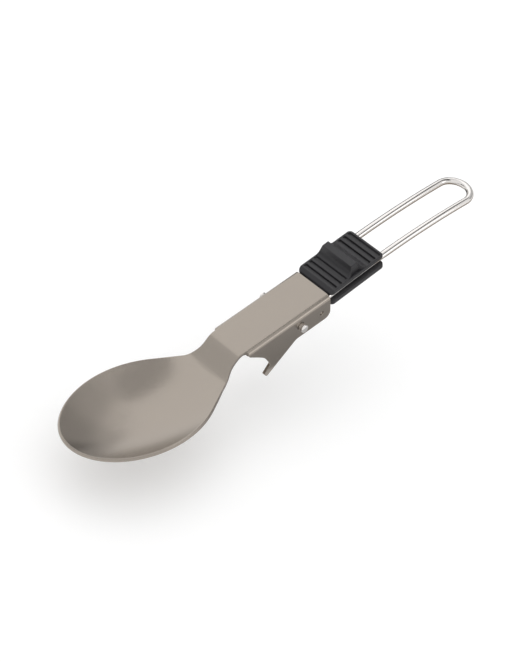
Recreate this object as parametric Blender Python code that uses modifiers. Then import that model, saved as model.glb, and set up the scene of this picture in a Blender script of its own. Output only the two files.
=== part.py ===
"""A folding camp spoon, unfolded and locked: a pressed steel spoon plate, a wire handle and a slider.

The spoon plate is one sheet. Its bowl and neck run into a channel, whose two flanges carry the
pin holes and end in opener hooks. The wire handle turns on its own pinned ends in the flanges.
The slider rides on the wires and locks the handle while it stands against the channel.

Everything is modelled in the channel's frame: X runs from bowl to handle, Y across, Z up, with
zero at the pins along X and at the channel's flat top along Z. The parent empty at the end sets
the spoon down on its bowl and hooks.
"""

import math

import bmesh
import bpy
import numpy as np
from mathutils import Matrix

MM = 0.001

# Sheet and channel
SHEET = 1.1 * MM
CHANNEL_WIDTH = 15.6 * MM
BEND_RADIUS = 1.75 * MM  # on the outside of the sheet
CHANNEL_REAR = 12.7 * MM  # behind the pins
FLANGE_DROP = 8.55 * MM
FLANGE_REAR_RADIUS = 2.4 * MM
FLANGE_KNEE_RADIUS = 3.0 * MM
FLANGE_KNEE_AHEAD = 1.9 * MM  # of the pins, as are the sizes below that end in AHEAD

# Opener hooks
NOTCH_FRONT_AHEAD = 21.4 * MM
NOTCH_FRONT_DROP = 1.9 * MM
NOTCH_TURN_AHEAD = 15.1 * MM
NOTCH_TURN_DROP = 7.0 * MM
NOTCH_TURN_RADIUS = 8.0 * MM
NOTCH_ROOT_AHEAD = 12.8 * MM
NOTCH_ROOT_DROP = 11.6 * MM
NOTCH_ROOT_RADIUS = 0.35 * MM
NOSE_AHEAD = 15.5 * MM
NOSE_DROP = 14.4 * MM
NOSE_RADIUS = 0.3 * MM
TIP_AHEAD = 14.5 * MM
TIP_DROP = 16.05 * MM
TIP_RADIUS = 0.6 * MM

# Pins, their holes and the dimples that hold the wires up
PIN_DROP = 3.92 * MM
PIN_CLEARANCE = 0.05 * MM
HOLE_FLARE = 0.45 * MM
DIMPLE_BEHIND = 8.95 * MM
DIMPLE_DROP = 4.95 * MM
DIMPLE_BALL_RADIUS = 0.9 * MM
DIMPLE_DEPTH = 0.6 * MM

# Neck
NECK_WIDTH = 12.9 * MM
RELIEF_RADIUS = 1.0 * MM
NECK_SLOPE = 0.75
NECK_TOP_AHEAD = 24.6 * MM
NECK_TOP_REACH = 2.2 * MM  # half of the bend's length
NECK_FOOT_AHEAD = 31.9 * MM
NECK_FOOT_REACH = 3.0 * MM
NECK_FILLET_REACH = 1.4 * MM
FLARE_SLOPE = 0.53
TONGUE_OVERLAP = 2.4 * MM

# Bowl
BOWL_WIDTH = 36.15 * MM
BOWL_DEPTH = 5.4 * MM
BOWL_WIDEST_AHEAD = 59.5 * MM
BOWL_TIP_LENGTH = 26.05 * MM  # from the widest place
BOWL_SHOULDER_RADIUS = 37.0 * MM
BOWL_RIM_RISE = 0.162
BOWL_TIP_POWER = 1.97

# Wire handle
WIRE_DIAMETER = 2.3 * MM
WIRE_SIDE_GAP = 0.05 * MM
WIRE_ELBOW_CLEARANCE = 0.1 * MM
ARCH_RADIUS = 291.5 * MM
ARCH_START_ANGLE = math.radians(8.16)
LEG_LENGTH = 75.3 * MM  # along the arch, to where the loop turns
LOOP_RADIUS = 5.7 * MM
PIN_STANDOUT = 2.05 * MM
HEAD_DIAMETER = 2.75 * MM
HEAD_THICKNESS = 0.95 * MM
HEAD_ROUNDING = 0.3 * MM

# Slider
SLIDER_LENGTH = 23.15 * MM
SLIDER_WIDTH = 15.2 * MM
SLIDER_FRONT_GAP = 0.6 * MM  # to the channel's rear edge
SLIDER_CORNER_RADIUS = 1.4 * MM
SLIDER_CORE_GAP = 0.15 * MM
SLIDER_WIRE_ROOM = 0.25 * MM
PLATE_EDGE_ROUNDING = 0.45 * MM
LOWER_PLATE_FRONT = 1.7 * MM
LOWER_PLATE_REAR = 2.0 * MM
UPPER_FRONT_HEIGHT = 2.95 * MM  # above the middle of the wires, as are the heights below
UPPER_REAR_HEIGHT = 2.5 * MM
NOSE_FACE_HEIGHT = 1.75 * MM
NOSE_SLANT_LENGTH = 1.5 * MM
RIDGE_CREST_WIDTH = 12.9 * MM
RIDGE_FOOT_WIDTH = 14.0 * MM  # at the upper plate
RIDGE_START_BEHIND = 4.6 * MM  # behind the slider's front, as are the places below
RIDGE_START_HEIGHT = 2.4 * MM
RIDGE_TOE_BEHIND = 8.8 * MM
RIDGE_TOE_HEIGHT = 3.5 * MM
RIDGE_TOE_RADIUS = 3.2 * MM
CREST_FRONT_BEHIND = 9.9 * MM
CREST_REAR_BEHIND = 12.4 * MM
CREST_HEIGHT = 6.4 * MM
VALLEY_BEHIND = 13.8 * MM
VALLEY_HEIGHT = 3.9 * MM
VALLEY_RADIUS = 0.8 * MM
RIDGE_END_BEHIND = 16.9 * MM
GROOVE_PITCH = 2.17 * MM
GROOVE_WIDTH = 1.0 * MM
GROOVE_DEPTH = 0.45 * MM
GROOVE_MARGIN = 0.7 * MM
FRONT_GROOVE_BEHIND = 2.75 * MM
REAR_GROOVE_BEHIND = 17.35 * MM

# One overrun serves every cut, and one distance welds every cap
OVERRUN = 3.0 * MM
WELD = 0.001 * MM

# Counts
GROOVES = 3
EDGE_STEPS = 3
RIDGE_EDGE_STEPS = 2
BEND_STEPS = 6
CORNER_STEPS = 6
ROUND_STEPS = 32
BOWL_COLUMNS = 24
NECK_STATIONS = 32
TIP_STATIONS = 16
LEG_STATIONS = 24
LOOP_STEPS = 20
ELBOW_STEPS = 6
WIRE_RINGS = 6
REST_STEPS = 30

# Sizes that follow from the ones above
HALF_CHANNEL = CHANNEL_WIDTH / 2
FLANGE_INSIDE = HALF_CHANNEL - SHEET
WIRE_RADIUS = WIRE_DIAMETER / 2
LEG_OFFSET = FLANGE_INSIDE - WIRE_SIDE_GAP - WIRE_RADIUS
CHANNEL_FRONT = -(NECK_TOP_AHEAD - NECK_TOP_REACH)
FLARE_ANGLE = math.atan(FLARE_SLOPE)


def clear_scene():
    for obj in list(bpy.data.objects):
        bpy.data.objects.remove(obj)


def collection(name):
    made = bpy.data.collections.new(name)
    bpy.context.scene.collection.children.link(made)
    return made


def linear(hex_colour):
    """A colour written as sRGB hex, in Blender's linear values."""
    parts = [int(hex_colour[i : i + 2], 16) / 255 for i in (1, 3, 5)]
    return [c / 12.92 if c <= 0.04045 else ((c + 0.055) / 1.055) ** 2.4 for c in parts] + [1.0]


def material(name, hex_colour, metallic, roughness):
    made = bpy.data.materials.new(name)
    made.use_nodes = True
    shader = made.node_tree.nodes["Principled BSDF"]
    shader.inputs["Base Color"].default_value = linear(hex_colour)
    shader.inputs["Metallic"].default_value = metallic
    shader.inputs["Roughness"].default_value = roughness
    return made


def rounded(corners):
    """An outline from corners (a, b, radius), each rounded by an arc of that radius."""
    points = []
    for i, (a, b, radius) in enumerate(corners):
        here = np.array([a, b])
        before = np.array(corners[i - 1][:2]) - here
        after = np.array(corners[(i + 1) % len(corners)][:2]) - here
        if not radius:
            points.append(here)
            continue
        before /= np.linalg.norm(before)
        after /= np.linalg.norm(after)
        half = math.acos(float(np.clip(before @ after, -1, 1))) / 2
        middle = before + after
        centre = here + middle / np.linalg.norm(middle) * radius / math.sin(half)
        start = here + before * radius / math.tan(half) - centre
        end = here + after * radius / math.tan(half) - centre
        sweep = math.pi - 2 * half
        for k in range(CORNER_STEPS + 1):
            share = k / CORNER_STEPS
            first = math.sin((1 - share) * sweep) / math.sin(sweep)
            last = math.sin(share * sweep) / math.sin(sweep)
            points.append(centre + start * first + end * last)
    return points


def put_mesh(name, body, where):
    """The body as an object of its own in a collection."""
    mesh = bpy.data.meshes.new(name)
    body.to_mesh(mesh)
    body.free()
    obj = bpy.data.objects.new(name, mesh)
    where.objects.link(obj)
    return obj


def meshed(curve_object, where):
    """A curve object's closed mesh, with its caps welded, in place of the curve."""
    where.objects.link(curve_object)
    bpy.context.view_layer.update()
    done = curve_object.evaluated_get(bpy.context.evaluated_depsgraph_get())
    mesh = bpy.data.meshes.new_from_object(done)
    body = bmesh.new()
    body.from_mesh(mesh)
    bmesh.ops.remove_doubles(body, verts=body.verts, dist=WELD)
    bmesh.ops.transform(body, matrix=done.matrix_world, verts=body.verts)
    bmesh.ops.recalc_face_normals(body, faces=body.faces)
    name = curve_object.name
    bpy.data.objects.remove(curve_object)
    bpy.data.meshes.remove(mesh)
    return put_mesh(name, body, where)


def prism(name, outline, low, high, across, where):
    """A closed outline carried from low to high along the axis that across names."""
    curve = bpy.data.curves.new(name, "CURVE")
    curve.dimensions = "2D"
    curve.fill_mode = "BOTH"
    curve.extrude = (high - low) / 2
    spline = curve.splines.new("POLY")
    spline.use_cyclic_u = True
    spline.points.add(len(outline) - 1)
    for point, (a, b) in zip(spline.points, outline):
        point.co = (a, b, 0, 1)
    quarter = Matrix.Rotation(math.pi / 2, 4, "X")
    lengthwise = Matrix.Rotation(math.pi / 2, 4, "Z") @ quarter
    turn = {"X": lengthwise, "Y": quarter, "Z": Matrix.Identity(4)}[across]
    middle = (low + high) / 2
    shift = Matrix.Translation([middle if axis == across else 0 for axis in "XYZ"])
    obj = bpy.data.objects.new(name, curve)
    obj.matrix_world = shift @ turn
    return meshed(obj, where)


def turned(name, radius, far_radius, low, high, x, z, where):
    """A round bar or cone along Y from low to high, in line with the point x, z."""
    body = bmesh.new()
    length = high - low
    turn = Matrix.Rotation(-math.pi / 2, 4, "X")
    shift = Matrix.Translation((x, low + length / 2, z))
    bmesh.ops.create_cone(
        body,
        cap_ends=True,
        segments=ROUND_STEPS,
        radius1=radius,
        radius2=far_radius,
        depth=length,
        matrix=shift @ turn,
    )
    return put_mesh(name, body, where)


def boolean(obj, other, operation):
    """Joins to obj, or takes from it, the shape of a helper that doesn't render."""
    other.hide_render = True
    other.display_type = "WIRE"
    step = obj.modifiers.new(f"{operation.lower()} {other.name}", "BOOLEAN")
    step.operation = operation
    step.object = other
    step.solver = "EXACT"


def bevel(obj, width, segments):
    step = obj.modifiers.new("edges", "BEVEL")
    step.width = width
    step.segments = segments
    step.limit_method = "ANGLE"
    step.use_clamp_overlap = True


def ramp(distance, reach):
    """Zero before the bend and distance after it, with a parabola over reach on each side."""
    eased = (distance + reach) ** 2 / (4 * reach)
    return np.where(distance < -reach, 0.0, np.where(distance > reach, distance, eased))


# The sheet's shape along and across the spoon
def half_width_squared(x):
    """The square of the neck's and bowl's half width at x, which may run below zero past the tip."""
    widest = BOWL_WIDTH / 2
    neck = NECK_WIDTH / 2
    run = BOWL_SHOULDER_RADIUS * math.sin(FLARE_ANGLE)
    drop = BOWL_SHOULDER_RADIUS * (1 - math.cos(FLARE_ANGLE))
    foot = -BOWL_WIDEST_AHEAD + run + (widest - drop - neck) / FLARE_SLOPE
    flare = neck + FLARE_SLOPE * ramp(foot - x, NECK_FILLET_REACH)
    past = np.clip(x + BOWL_WIDEST_AHEAD, 0, run)
    shoulder = widest - BOWL_SHOULDER_RADIUS + np.sqrt(BOWL_SHOULDER_RADIUS**2 - past**2)
    neck_side = np.where(x + BOWL_WIDEST_AHEAD < run, shoulder, flare) ** 2
    to_tip = np.clip(-BOWL_WIDEST_AHEAD - x, 0, None) / BOWL_TIP_LENGTH
    tip_side = widest**2 * (1 - to_tip**BOWL_TIP_POWER)
    return np.where(x < -BOWL_WIDEST_AHEAD, tip_side, neck_side)


def sheet_height(x, y):
    """The upper face of the sheet: the neck's two bends, the rising rim and the bowl's hollow."""
    rim = -NECK_SLOPE * ramp(-NECK_TOP_AHEAD - x, NECK_TOP_REACH)
    rim = rim + (NECK_SLOPE + BOWL_RIM_RISE) * ramp(-NECK_FOOT_AHEAD - x, NECK_FOOT_REACH)
    widest_squared = (BOWL_WIDTH / 2) ** 2
    foot_squared = half_width_squared(np.array(-NECK_FOOT_AHEAD))
    here_squared = half_width_squared(x)
    opened = np.clip((here_squared - foot_squared) / (widest_squared - foot_squared), 0, 1)
    in_tip = x < -BOWL_WIDEST_AHEAD
    safe_squared = np.where(in_tip, widest_squared, here_squared)
    neck_hollow = opened * (1 - y**2 / safe_squared)
    tip_hollow = (here_squared - y**2) / widest_squared
    return rim - BOWL_DEPTH * np.where(in_tip, tip_hollow, neck_hollow)


def bowl_and_neck(name, where):
    """A surface lofted from inside the channel to the bowl's tip through unlike sections, one sheet thick."""
    tongue = np.array([CHANNEL_FRONT + TONGUE_OVERLAP, CHANNEL_FRONT + TONGUE_OVERLAP / BEND_STEPS])
    along = np.linspace(CHANNEL_FRONT, -BOWL_WIDEST_AHEAD, NECK_STATIONS)
    turn = np.sin(np.linspace(0, math.pi / 2, TIP_STATIONS + 1)[1:])
    x = np.concatenate([tongue, along, -BOWL_WIDEST_AHEAD - BOWL_TIP_LENGTH * turn])
    half = np.sqrt(np.clip(half_width_squared(x), 0, None))
    half[: len(tongue)] = HALF_CHANNEL - BEND_RADIUS
    across = np.linspace(-1, 1, BOWL_COLUMNS + 1)
    points_x = np.append(np.repeat(x[:-1], len(across)), x[-1])
    points_y = np.append((half[:-1, None] * across).ravel(), 0.0)
    points_z = sheet_height(points_x, points_y)
    body = bmesh.new()
    corners = [body.verts.new(point) for point in zip(points_x, points_y, points_z)]
    rows = [corners[i : i + len(across)] for i in range(0, len(corners) - 1, len(across))]
    for row, following in zip(rows, rows[1:]):
        for j in range(BOWL_COLUMNS):
            body.faces.new((row[j], row[j + 1], following[j + 1], following[j]))
    for j in range(BOWL_COLUMNS):
        body.faces.new((rows[-1][j], rows[-1][j + 1], corners[-1]))
    bmesh.ops.recalc_face_normals(body, faces=body.faces)
    if body.faces[0].normal.z < 0:
        bmesh.ops.reverse_faces(body, faces=body.faces)
    sheet = put_mesh(name, body, where)
    wall = sheet.modifiers.new("sheet", "SOLIDIFY")
    wall.thickness = SHEET
    wall.offset = -1
    wall.use_even_offset = True
    return sheet


def channel_section(depth):
    """The bent channel's section in Y and Z: flange, bend, flat top, bend, flange, and back inside."""
    outline = []
    for radius, order in ((BEND_RADIUS, 1), (BEND_RADIUS - SHEET, -1)):
        inset = BEND_RADIUS - radius
        side = [(HALF_CHANNEL - inset, -depth)]
        for k in range(BEND_STEPS + 1):
            angle = k / BEND_STEPS * math.pi / 2
            a = HALF_CHANNEL - BEND_RADIUS + radius * math.cos(angle)
            side.append((a, -BEND_RADIUS + radius * math.sin(angle)))
        whole = side + [(-a, b) for a, b in reversed(side)]
        outline += whole[::order]
    return outline


def flange_outline():
    """The channel from the side: its top, rear edge, the flanges' lower edge, the hook and the notch."""
    top = OVERRUN
    front = CHANNEL_FRONT - OVERRUN
    return rounded(
        [
            (front, top, 0),
            (CHANNEL_REAR, top, 0),
            (CHANNEL_REAR, -FLANGE_DROP, FLANGE_REAR_RADIUS),
            (-FLANGE_KNEE_AHEAD, -FLANGE_DROP, FLANGE_KNEE_RADIUS),
            (-TIP_AHEAD, -TIP_DROP, TIP_RADIUS),
            (-NOSE_AHEAD, -NOSE_DROP, NOSE_RADIUS),
            (-NOTCH_ROOT_AHEAD, -NOTCH_ROOT_DROP, NOTCH_ROOT_RADIUS),
            (-NOTCH_TURN_AHEAD, -NOTCH_TURN_DROP, NOTCH_TURN_RADIUS),
            (-NOTCH_FRONT_AHEAD, -NOTCH_FRONT_DROP, 0),
            (front, -NOTCH_FRONT_DROP, 0),
        ]
    )


def make_spoon_plate(parts, cutters):
    """One pressed sheet: the channel is bent up, trimmed from the side, and runs on as neck and bowl."""
    section = channel_section(TIP_DROP + OVERRUN)
    plate = prism("spoon_plate", section, CHANNEL_FRONT, CHANNEL_REAR + OVERRUN, "X", parts)
    reach = HALF_CHANNEL + OVERRUN
    boolean(plate, prism("cut flange outline", flange_outline(), -reach, reach, "Y", cutters), "INTERSECT")
    boolean(plate, bowl_and_neck("join bowl and neck", cutters), "UNION")
    for name, side in (("near", -1), ("far", 1)):
        centre = NECK_WIDTH / 2 + RELIEF_RADIUS
        ring = [
            (
                CHANNEL_FRONT + RELIEF_RADIUS * math.cos(k / ROUND_STEPS * 2 * math.pi),
                side * centre + RELIEF_RADIUS * math.sin(k / ROUND_STEPS * 2 * math.pi),
            )
            for k in range(ROUND_STEPS)
        ]
        relief = prism(f"cut {name} relief", ring, -BEND_RADIUS - OVERRUN, OVERRUN, "Z", cutters)
        boolean(plate, relief, "DIFFERENCE")
        outer = side * HALF_CHANNEL
        flare_end = outer - side * HOLE_FLARE
        over = outer + side * OVERRUN
        hole = WIRE_RADIUS + PIN_CLEARANCE
        low, high = sorted((side * (FLANGE_INSIDE - OVERRUN), over))
        boolean(plate, turned(f"cut {name} hole", hole, hole, low, high, 0, -PIN_DROP, cutters), "DIFFERENCE")
        wide = hole + HOLE_FLARE + OVERRUN
        low, high = sorted((flare_end, over))
        cone = (wide, hole) if side < 0 else (hole, wide)
        boolean(plate, turned(f"cut {name} flare", *cone, low, high, 0, -PIN_DROP, cutters), "DIFFERENCE")
        boolean(plate, dimple(f"cut {name} dimple", side, cutters), "DIFFERENCE")
    return plate


def dimple(name, side, where):
    """The shallow round dent that the press leaves on the outside of a flange."""
    body = bmesh.new()
    out = HALF_CHANNEL + DIMPLE_BALL_RADIUS - DIMPLE_DEPTH
    place = Matrix.Translation((DIMPLE_BEHIND, side * out, -DIMPLE_DROP))
    turn = Matrix.Rotation(math.pi / 2, 4, "X")
    bmesh.ops.create_uvsphere(
        body, u_segments=ROUND_STEPS, v_segments=ROUND_STEPS, radius=DIMPLE_BALL_RADIUS, matrix=place @ turn
    )
    return put_mesh(name, body, where)


# The handle's arch, measured along the wire from the pins
def arch(length):
    """The place and slope angle in the channel's frame at a length along the arch."""
    angle = ARCH_START_ANGLE - length / ARCH_RADIUS
    x = ARCH_RADIUS * (math.sin(ARCH_START_ANGLE) - math.sin(angle))
    z = -PIN_DROP + ARCH_RADIUS * (math.cos(angle) - math.cos(ARCH_START_ANGLE))
    return x, z, angle


def arch_centre():
    x = ARCH_RADIUS * math.sin(ARCH_START_ANGLE)
    return x, -PIN_DROP - ARCH_RADIUS * math.cos(ARCH_START_ANGLE)


def wire_path():
    """Points (length, y) from the far pin's end round the loop to the near pin's end."""
    elbow = WIRE_RADIUS + WIRE_ELBOW_CLEARANCE
    end = HALF_CHANNEL + PIN_STANDOUT - HEAD_THICKNESS / 2
    half = [(0.0, end)]
    for k in range(ELBOW_STEPS + 1):
        angle = k / ELBOW_STEPS * math.pi / 2
        half.append((elbow * (1 - math.cos(angle)), LEG_OFFSET + elbow * (1 - math.sin(angle))))
    for k in range(1, LEG_STATIONS + 1):
        share = k / LEG_STATIONS
        spread = (LOOP_RADIUS - LEG_OFFSET) * share**2
        half.append((elbow + (LEG_LENGTH - elbow) * share, LEG_OFFSET + spread))
    for k in range(1, LOOP_STEPS // 2):
        angle = k / LOOP_STEPS * math.pi
        half.append((LEG_LENGTH + LOOP_RADIUS * math.sin(angle), LOOP_RADIUS * math.cos(angle)))
    return half + [(LEG_LENGTH + LOOP_RADIUS, 0.0)] + [(a, -b) for a, b in reversed(half)]


def make_wire_handle(parts, cutters):
    """One wire: two legs and a round loop, with the ends turned out and headed as pins."""
    curve = bpy.data.curves.new("wire_handle", "CURVE")
    curve.dimensions = "3D"
    curve.bevel_depth = WIRE_RADIUS
    curve.bevel_resolution = WIRE_RINGS
    curve.use_fill_caps = True
    path = wire_path()
    spline = curve.splines.new("POLY")
    spline.points.add(len(path) - 1)
    for point, (length, y) in zip(spline.points, path):
        x, z, _ = arch(length)
        point.co = (x, y, z + PIN_DROP, 1)
    handle = meshed(bpy.data.objects.new("wire_handle", curve), parts)
    for name, side in (("near", -1), ("far", 1)):
        outer = side * (HALF_CHANNEL + PIN_STANDOUT)
        low, high = sorted((outer, outer - side * HEAD_THICKNESS))
        radius = HEAD_DIAMETER / 2
        head = turned(f"join {name} head", radius, radius, low, high, 0, 0, cutters)
        bevel(head, HEAD_ROUNDING, EDGE_STEPS)
        boolean(handle, head, "UNION")
    return handle


# The slider, in its own frame: S from its front along the wires, N up from the middle of the wires
def slider_plate_outline():
    half = SLIDER_WIDTH / 2
    return rounded(
        [
            (0, -half, SLIDER_CORNER_RADIUS),
            (SLIDER_LENGTH, -half, SLIDER_CORNER_RADIUS),
            (SLIDER_LENGTH, half, SLIDER_CORNER_RADIUS),
            (0, half, SLIDER_CORNER_RADIUS),
        ]
    )


def upper_height(behind):
    """The upper plate's height, which falls evenly from the front to the rear."""
    return UPPER_FRONT_HEIGHT + (UPPER_REAR_HEIGHT - UPPER_FRONT_HEIGHT) * behind / SLIDER_LENGTH


def upper_side():
    """The upper plate from the side, with its slanted nose."""
    under = WIRE_RADIUS + SLIDER_WIRE_ROOM
    return rounded(
        [
            (0, under, 0),
            (SLIDER_LENGTH, under, 0),
            (SLIDER_LENGTH, UPPER_REAR_HEIGHT, PLATE_EDGE_ROUNDING),
            (NOSE_SLANT_LENGTH, upper_height(NOSE_SLANT_LENGTH), PLATE_EDGE_ROUNDING),
            (0, NOSE_FACE_HEIGHT, PLATE_EDGE_ROUNDING),
        ]
    )


def lower_side():
    """The lower plate from the side, which is thicker towards the rear."""
    under = WIRE_RADIUS + SLIDER_WIRE_ROOM
    front = -under - LOWER_PLATE_FRONT
    rear = -under - LOWER_PLATE_REAR
    fall = (rear - front) / SLIDER_LENGTH * OVERRUN
    return [
        (-OVERRUN, OVERRUN),
        (-OVERRUN, front - fall),
        (SLIDER_LENGTH + OVERRUN, rear + fall),
        (SLIDER_LENGTH + OVERRUN, OVERRUN),
    ]


def ridge_side():
    """The thumb ridge from the side: a hollow ramp, a flat crest and a valley behind it."""
    sunk = WIRE_RADIUS + SLIDER_WIRE_ROOM + GROOVE_DEPTH
    return rounded(
        [
            (RIDGE_START_BEHIND, RIDGE_START_HEIGHT, 0),
            (RIDGE_START_BEHIND, sunk, 0),
            (RIDGE_END_BEHIND, sunk, 0),
            (VALLEY_BEHIND, VALLEY_HEIGHT, VALLEY_RADIUS),
            (CREST_REAR_BEHIND, CREST_HEIGHT, 0),
            (CREST_FRONT_BEHIND, CREST_HEIGHT, 0),
            (RIDGE_TOE_BEHIND, RIDGE_TOE_HEIGHT, RIDGE_TOE_RADIUS),
        ]
    )


def ridge_front():
    """The ridge from the front, narrower towards its crest, between two even slants."""
    lean = (RIDGE_FOOT_WIDTH - RIDGE_CREST_WIDTH) / 2 / (CREST_HEIGHT - UPPER_FRONT_HEIGHT)
    foot = RIDGE_FOOT_WIDTH / 2 + lean * UPPER_FRONT_HEIGHT
    over = CREST_HEIGHT + OVERRUN
    return [(-foot, 0), (foot, 0), (foot - lean * over, over), (lean * over - foot, over)]


def make_slider(parts, cutters):
    """One moulding: upper and lower plates on a core between the wires, a thumb ridge and grip grooves."""
    half = SLIDER_WIDTH / 2
    under = WIRE_RADIUS + SLIDER_WIRE_ROOM
    slider = prism("slider", slider_plate_outline(), under, CREST_HEIGHT + OVERRUN, "Z", parts)
    side = prism("cut upper plate side", upper_side(), -half - OVERRUN, half + OVERRUN, "Y", cutters)
    boolean(slider, side, "INTERSECT")
    bevel(slider, PLATE_EDGE_ROUNDING, EDGE_STEPS)
    ridge = prism("join ridge", ridge_side(), -half, half, "Y", cutters)
    slants = prism("cut ridge ends", ridge_front(), 0, SLIDER_LENGTH, "X", cutters)
    boolean(ridge, slants, "INTERSECT")
    bevel(ridge, PLATE_EDGE_ROUNDING, RIDGE_EDGE_STEPS)
    boolean(slider, ridge, "UNION")
    half_core = LEG_OFFSET - WIRE_RADIUS - SLIDER_CORE_GAP
    sunk = LOWER_PLATE_FRONT / 2
    core_outline = [(0, -half_core), (SLIDER_LENGTH, -half_core), (SLIDER_LENGTH, half_core), (0, half_core)]
    inset = [(min(max(a, sunk), SLIDER_LENGTH - sunk), b) for a, b in core_outline]
    boolean(slider, prism("join core", inset, -under - sunk, under + sunk, "Z", cutters), "UNION")
    deep = -under - LOWER_PLATE_REAR - OVERRUN
    lower = prism("join lower plate", slider_plate_outline(), deep, -under, "Z", cutters)
    side = prism("cut lower plate side", lower_side(), -half - OVERRUN, half + OVERRUN, "Y", cutters)
    boolean(lower, side, "INTERSECT")
    bevel(lower, PLATE_EDGE_ROUNDING, EDGE_STEPS)
    boolean(slider, lower, "UNION")
    reach = half - GROOVE_MARGIN
    for name, start in (("front", FRONT_GROOVE_BEHIND), ("rear", REAR_GROOVE_BEHIND)):
        for k in range(GROOVES):
            middle = start + k * GROOVE_PITCH
            floor = upper_height(middle) - GROOVE_DEPTH
            outline = [
                (middle - GROOVE_WIDTH / 4, floor),
                (middle + GROOVE_WIDTH / 4, floor),
                (middle + GROOVE_WIDTH, floor + 2 * GROOVE_DEPTH),
                (middle - GROOVE_WIDTH, floor + 2 * GROOVE_DEPTH),
            ]
            groove = prism(f"cut {name} groove {k + 1}", outline, -reach, reach, "Y", cutters)
            boolean(slider, groove, "DIFFERENCE")
    return slider


def world_points(obj):
    """The finished mesh's points in the world, as rows of X, Y and Z."""
    bpy.context.view_layer.update()
    done = obj.evaluated_get(bpy.context.evaluated_depsgraph_get())
    mesh = done.to_mesh()
    points = np.empty(len(mesh.vertices) * 3)
    mesh.vertices.foreach_get("co", points)
    done.to_mesh_clear()
    world = np.array(done.matrix_world)
    return points.reshape(-1, 3) @ world[:3, :3].T + world[:3, 3]


def rest_tilt(points):
    """The turn about Y that sets the bowl and the hooks down on one level."""
    bowl = points[points[:, 0] < -NECK_FOOT_AHEAD]
    hooks = points[points[:, 0] > CHANNEL_FRONT]
    tilt = 0.0
    for _ in range(REST_STEPS):
        lowest = [min(p, key=lambda v: -v[0] * math.sin(tilt) + v[2] * math.cos(tilt)) for p in (bowl, hooks)]
        (bowl_x, _, bowl_z), (hook_x, _, hook_z) = lowest
        tilt = -math.atan2(bowl_z - hook_z, hook_x - bowl_x)
    return tilt


def empty(name, location, parent, where):
    made = bpy.data.objects.new(name, None)
    where.objects.link(made)
    made.location = location
    made.parent = parent
    return made


def main():
    clear_scene()
    parts = collection("folding spoon")
    cutters = collection("cutters")
    cutters.hide_render = True

    plate = make_spoon_plate(parts, cutters)
    plate.data.materials.append(material("bead-blasted steel", "#aca39a", 1.0, 0.42))

    frame = empty("spoon_frame", (0, 0, 0), None, parts)
    pins = empty("fold_axis", (0, 0, -PIN_DROP), frame, parts)
    handle = make_wire_handle(parts, cutters)
    handle.data.materials.append(material("polished steel wire", "#d4d1cc", 1.0, 0.14))
    handle.parent = pins

    centre_x, centre_z = arch_centre()
    travel = empty("slide_axis", (centre_x, 0, centre_z + PIN_DROP), pins, parts)
    middle = math.asin((CHANNEL_REAR + SLIDER_FRONT_GAP) / ARCH_RADIUS) + SLIDER_LENGTH / 2 / ARCH_RADIUS
    x, z, angle = arch(middle * ARCH_RADIUS)
    slider = make_slider(parts, cutters)
    slider.data.materials.append(material("black plastic", "#434245", 0.0, 0.5))
    slider.parent = travel
    front = SLIDER_LENGTH / 2
    slider.location = (
        x - front * math.cos(angle) - centre_x,
        0,
        z - front * math.sin(angle) - centre_z,
    )
    slider.rotation_euler = (0, -angle, 0)

    for owner in (plate, handle, slider, *cutters.objects):
        for step in owner.modifiers:
            if step.type == "BOOLEAN":
                step.object.parent = owner
    plate.parent = frame

    frame.rotation_euler = (0, rest_tilt(world_points(plate)), 0)
    points = np.concatenate([world_points(obj) for obj in (plate, handle, slider)])
    low, high = points.min(axis=0), points.max(axis=0)
    frame.location = (-(low[0] + high[0]) / 2, -(low[1] + high[1]) / 2, -low[2])
    bpy.context.view_layer.update()


main()
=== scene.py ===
import bmesh
import bpy
import numpy as np
from mathutils import Matrix, Vector


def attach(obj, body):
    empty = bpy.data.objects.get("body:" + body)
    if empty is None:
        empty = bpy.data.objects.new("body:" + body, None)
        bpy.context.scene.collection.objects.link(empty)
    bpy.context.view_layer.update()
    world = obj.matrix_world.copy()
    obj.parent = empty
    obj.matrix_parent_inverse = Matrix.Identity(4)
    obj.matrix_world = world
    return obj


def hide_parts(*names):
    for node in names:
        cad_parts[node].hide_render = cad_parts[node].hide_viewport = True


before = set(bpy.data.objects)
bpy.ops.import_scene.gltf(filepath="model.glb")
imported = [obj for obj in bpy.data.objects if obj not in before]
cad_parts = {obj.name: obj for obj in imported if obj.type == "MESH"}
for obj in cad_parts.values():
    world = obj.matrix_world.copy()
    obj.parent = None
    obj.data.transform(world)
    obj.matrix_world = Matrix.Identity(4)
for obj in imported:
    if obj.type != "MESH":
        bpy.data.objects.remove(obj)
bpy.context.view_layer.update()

# Spoon plate. One sheet of stainless steel, pressed to a bowl and a stepped neck and folded down
# behind them to a channel. Its flanges are blanked with opener hooks, pierced for the pins and
# dented, and then the whole sheet is blasted with fine beads.

# Sizes are in millimetres and places in the channel's frame, which has X from bowl to handle with
# zero at the pins, Y across, and Z up with zero at the flat top
sheet = 1.1
half_channel = 7.8
bend_radius = 1.75
channel_front = -22.4
channel_rear = 12.7
neck_half = 6.45
neck_bend, neck_bend_reach = -24.6, 1.5
neck_foot, neck_foot_reach = -31.9, 1.6
neck_slope = 0.75
bowl_rise = 0.162
flare_slope, flare_reach = 0.53, 1.4
shoulder_radius = 37.0
widest_x = -59.5
bowl_half = 18.075
bowl_depth = 5.4
tip_length = 26.05
tip_power = 1.97
fan_length = 14.0
tongue_length = 2.4
rim_edge = 0.22
blanked_edge = 0.2
relief_radius, relief_foot = 1.0, -3.0
pin_drop = 3.92
hole_radius = 1.3
mouth_radius, mouth_sink = 0.45, 0.42
dent_x, dent_drop = 8.95, 4.95
dent_ball, dent_depth = 0.7, 0.85
overrun = 1.0

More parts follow.
